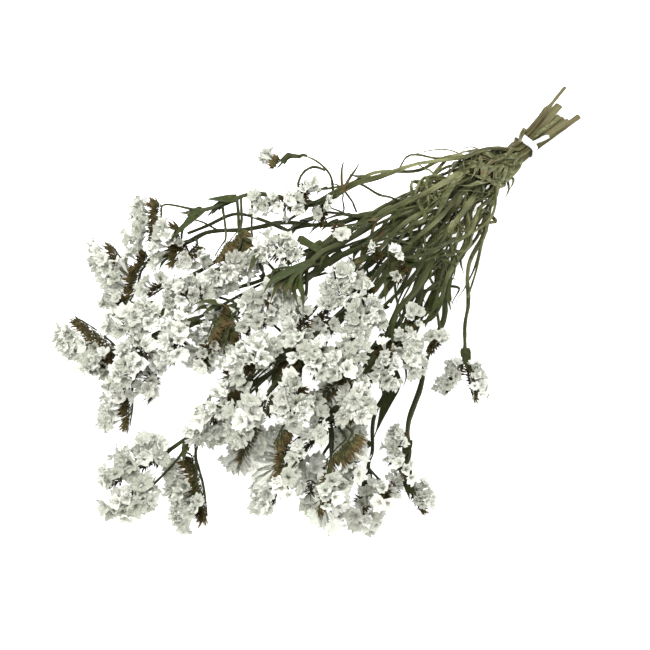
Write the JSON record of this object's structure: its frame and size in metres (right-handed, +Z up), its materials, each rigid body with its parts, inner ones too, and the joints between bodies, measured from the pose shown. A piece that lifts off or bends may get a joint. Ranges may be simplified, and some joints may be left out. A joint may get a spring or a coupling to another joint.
{
  "type": "dried statice bunch",
  "caption": "Tied bunch of dried statice lying down: winged, branching green stems that fan out to one-sided combs of papery white flowers.",
  "frame": {"origin": "centre of the tie's flat underside, on the surface that the bunch lies on", "axes": "+X along the bunch from the flowers to the cut ends, +Z up from the surface, +Y across the fan of stems"},
  "size_m": [0.4273, 0.2855, 0.1045],
  "materials": {
    "stem_green": "dry matte olive green with paler ridges and brown bracts",
    "calyx_white": "thin papery ivory white, slightly translucent, yellow-green in the folds",
    "tie_clear": "soft glossy translucent white plastic"
  },
  "bodies": {
    "root": {"tie_band": "tie_clear", "sprig_1_stem": "stem_green", "sprig_2_stem": "stem_green", "sprig_3_stem": "stem_green", "sprig_4_stem": "stem_green", "sprig_5_stem": "stem_green", "sprig_6_stem": "stem_green", "sprig_7_stem": "stem_green", "sprig_8_stem": "stem_green", "sprig_9_stem": "stem_green", "sprig_1_head_1": "calyx_white", "sprig_1_head_2": "calyx_white", "sprig_1_head_3": "calyx_white", "sprig_1_head_4": "calyx_white", "sprig_1_head_5": "calyx_white", "sprig_2_head_1": "calyx_white", "sprig_2_head_2": "calyx_white", "sprig_2_head_3": "calyx_white", "sprig_3_head_1": "calyx_white", "sprig_3_head_2": "calyx_white", "sprig_3_head_3": "calyx_white", "sprig_3_head_4": "calyx_white", "sprig_4_head_1": "calyx_white", "sprig_4_head_2": "calyx_white", "sprig_4_head_3": "calyx_white", "sprig_4_head_4": "calyx_white", "sprig_4_head_5": "calyx_white", "sprig_4_head_6": "calyx_white", "sprig_4_head_7": "calyx_white", "sprig_4_head_8": "calyx_white", "sprig_4_head_9": "calyx_white", "sprig_5_head_1": "calyx_white", "sprig_5_head_2": "calyx_white", "sprig_5_head_3": "calyx_white", "sprig_5_head_4": "calyx_white", "sprig_5_head_5": "calyx_white", "sprig_5_head_6": "calyx_white", "sprig_6_head_1": "calyx_white", "sprig_6_head_2": "calyx_white", "sprig_6_head_3": "calyx_white", "sprig_6_head_4": "calyx_white", "sprig_6_head_5": "calyx_white", "sprig_7_head_1": "calyx_white", "sprig_7_head_2": "calyx_white", "sprig_7_head_3": "calyx_white", "sprig_7_head_4": "calyx_white", "sprig_7_head_5": "calyx_white", "sprig_7_head_6": "calyx_white", "sprig_7_head_7": "calyx_white", "sprig_8_head_1": "calyx_white", "sprig_8_head_2": "calyx_white", "sprig_8_head_3": "calyx_white", "sprig_8_head_4": "calyx_white", "sprig_8_head_5": "calyx_white", "sprig_8_head_6": "calyx_white", "sprig_9_head_1": "calyx_white", "sprig_9_head_2": "calyx_white", "sprig_9_head_3": "calyx_white", "sprig_9_head_4": "calyx_white", "sprig_9_head_5": "calyx_white"}
  },
  "joints": []
}
